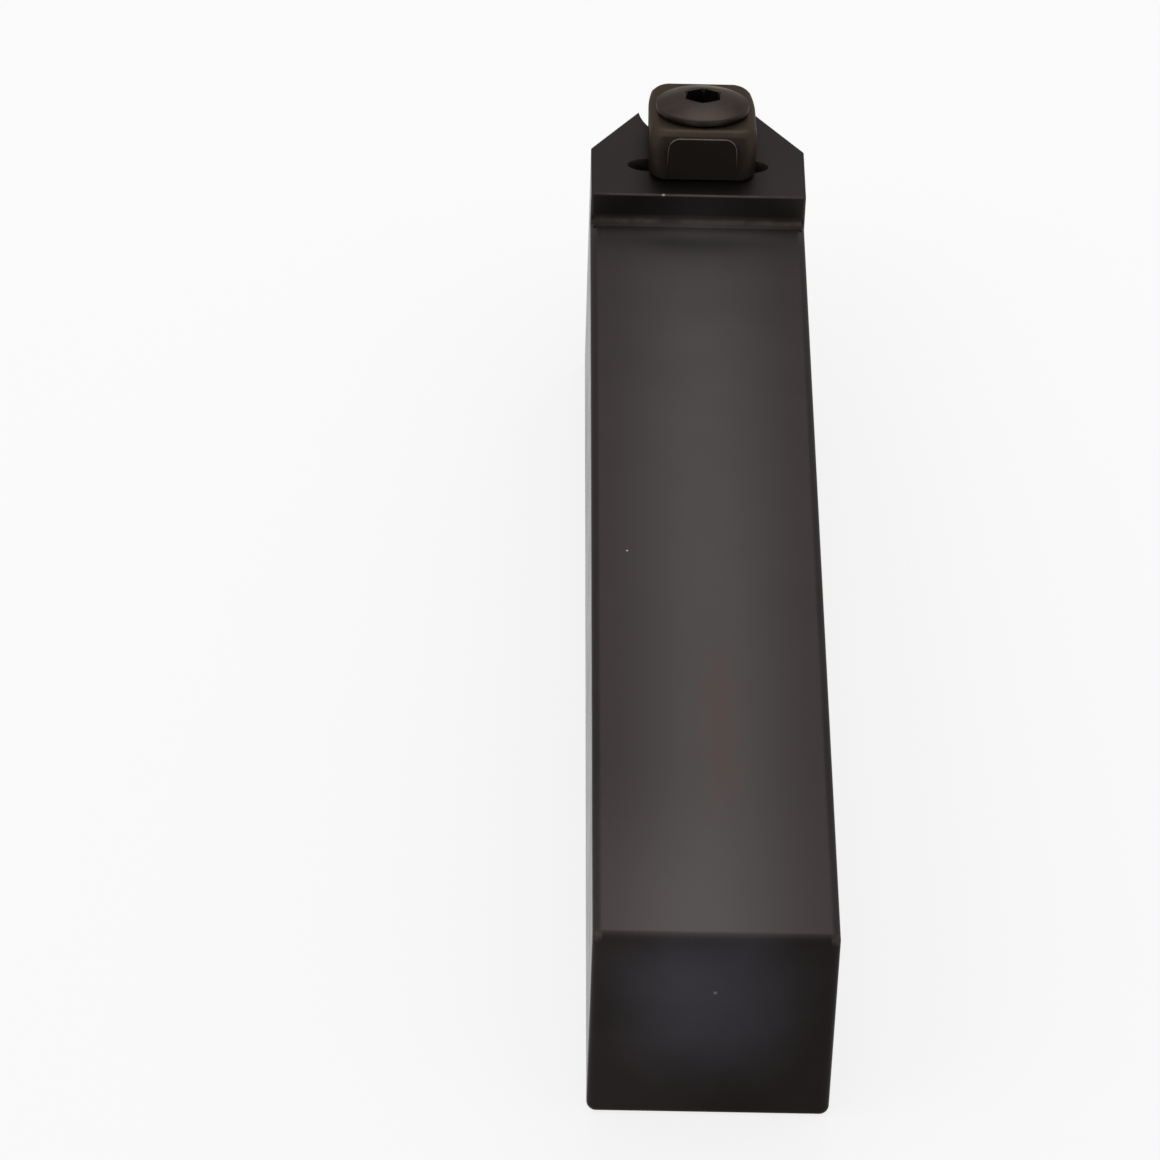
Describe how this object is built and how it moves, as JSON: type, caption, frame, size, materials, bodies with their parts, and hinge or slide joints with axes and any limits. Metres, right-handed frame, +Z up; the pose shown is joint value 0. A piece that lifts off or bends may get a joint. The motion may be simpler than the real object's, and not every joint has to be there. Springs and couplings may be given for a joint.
{
  "type": "turning tool holder",
  "caption": "Straight turning tool holder: square shank, raised pointed head with a round insert seat and shim, and a cast top clamp with its leaning hexagon socket screw.",
  "frame": {"origin": "middle of the underside of the whole holder", "axes": "+Y along the shank towards the head, +Z up out of the head's clamp face, +X to the right seen from the shank's rear"},
  "size_m": [0.025, 0.1454, 0.0361],
  "materials": {
    "black_oxide": "ground steel with a satin black oxide",
    "dark_cast_steel": "fine cast steel with a warm black oxide, bright at worn edges",
    "dark_screw_steel": "turned steel with a warm black oxide",
    "spring_steel": "drawn spring wire",
    "shim_carbide": "ground grey carbide"
  },
  "bodies": {
    "holder": {"holder_body": "black_oxide", "shim": "shim_carbide", "shim_screw": "dark_screw_steel", "lift_spring": "spring_steel"},
    "clamp": {"clamp": "dark_cast_steel"},
    "clamp_screw": {"clamp_screw": "dark_screw_steel"}
  },
  "joints": [
    {"name": "clamp_lift", "type": "slide", "parent": "holder", "child": "clamp", "axis": [0, 0.2079, 0.9781], "range_m": [0, 0.003], "deforming": ["lift_spring"]},
    {"name": "screw_turn", "type": "hinge", "parent": "clamp", "child": "clamp_screw", "pos_m": [0.00042, 0.05858, 0.0289], "axis": [0, 0.2079, 0.9781], "range_deg": [0, 1350]}
  ],
  "couplings": [
    {"joint": "screw_turn", "follows": "clamp_lift", "rad_per_m": 7854}
  ]
}
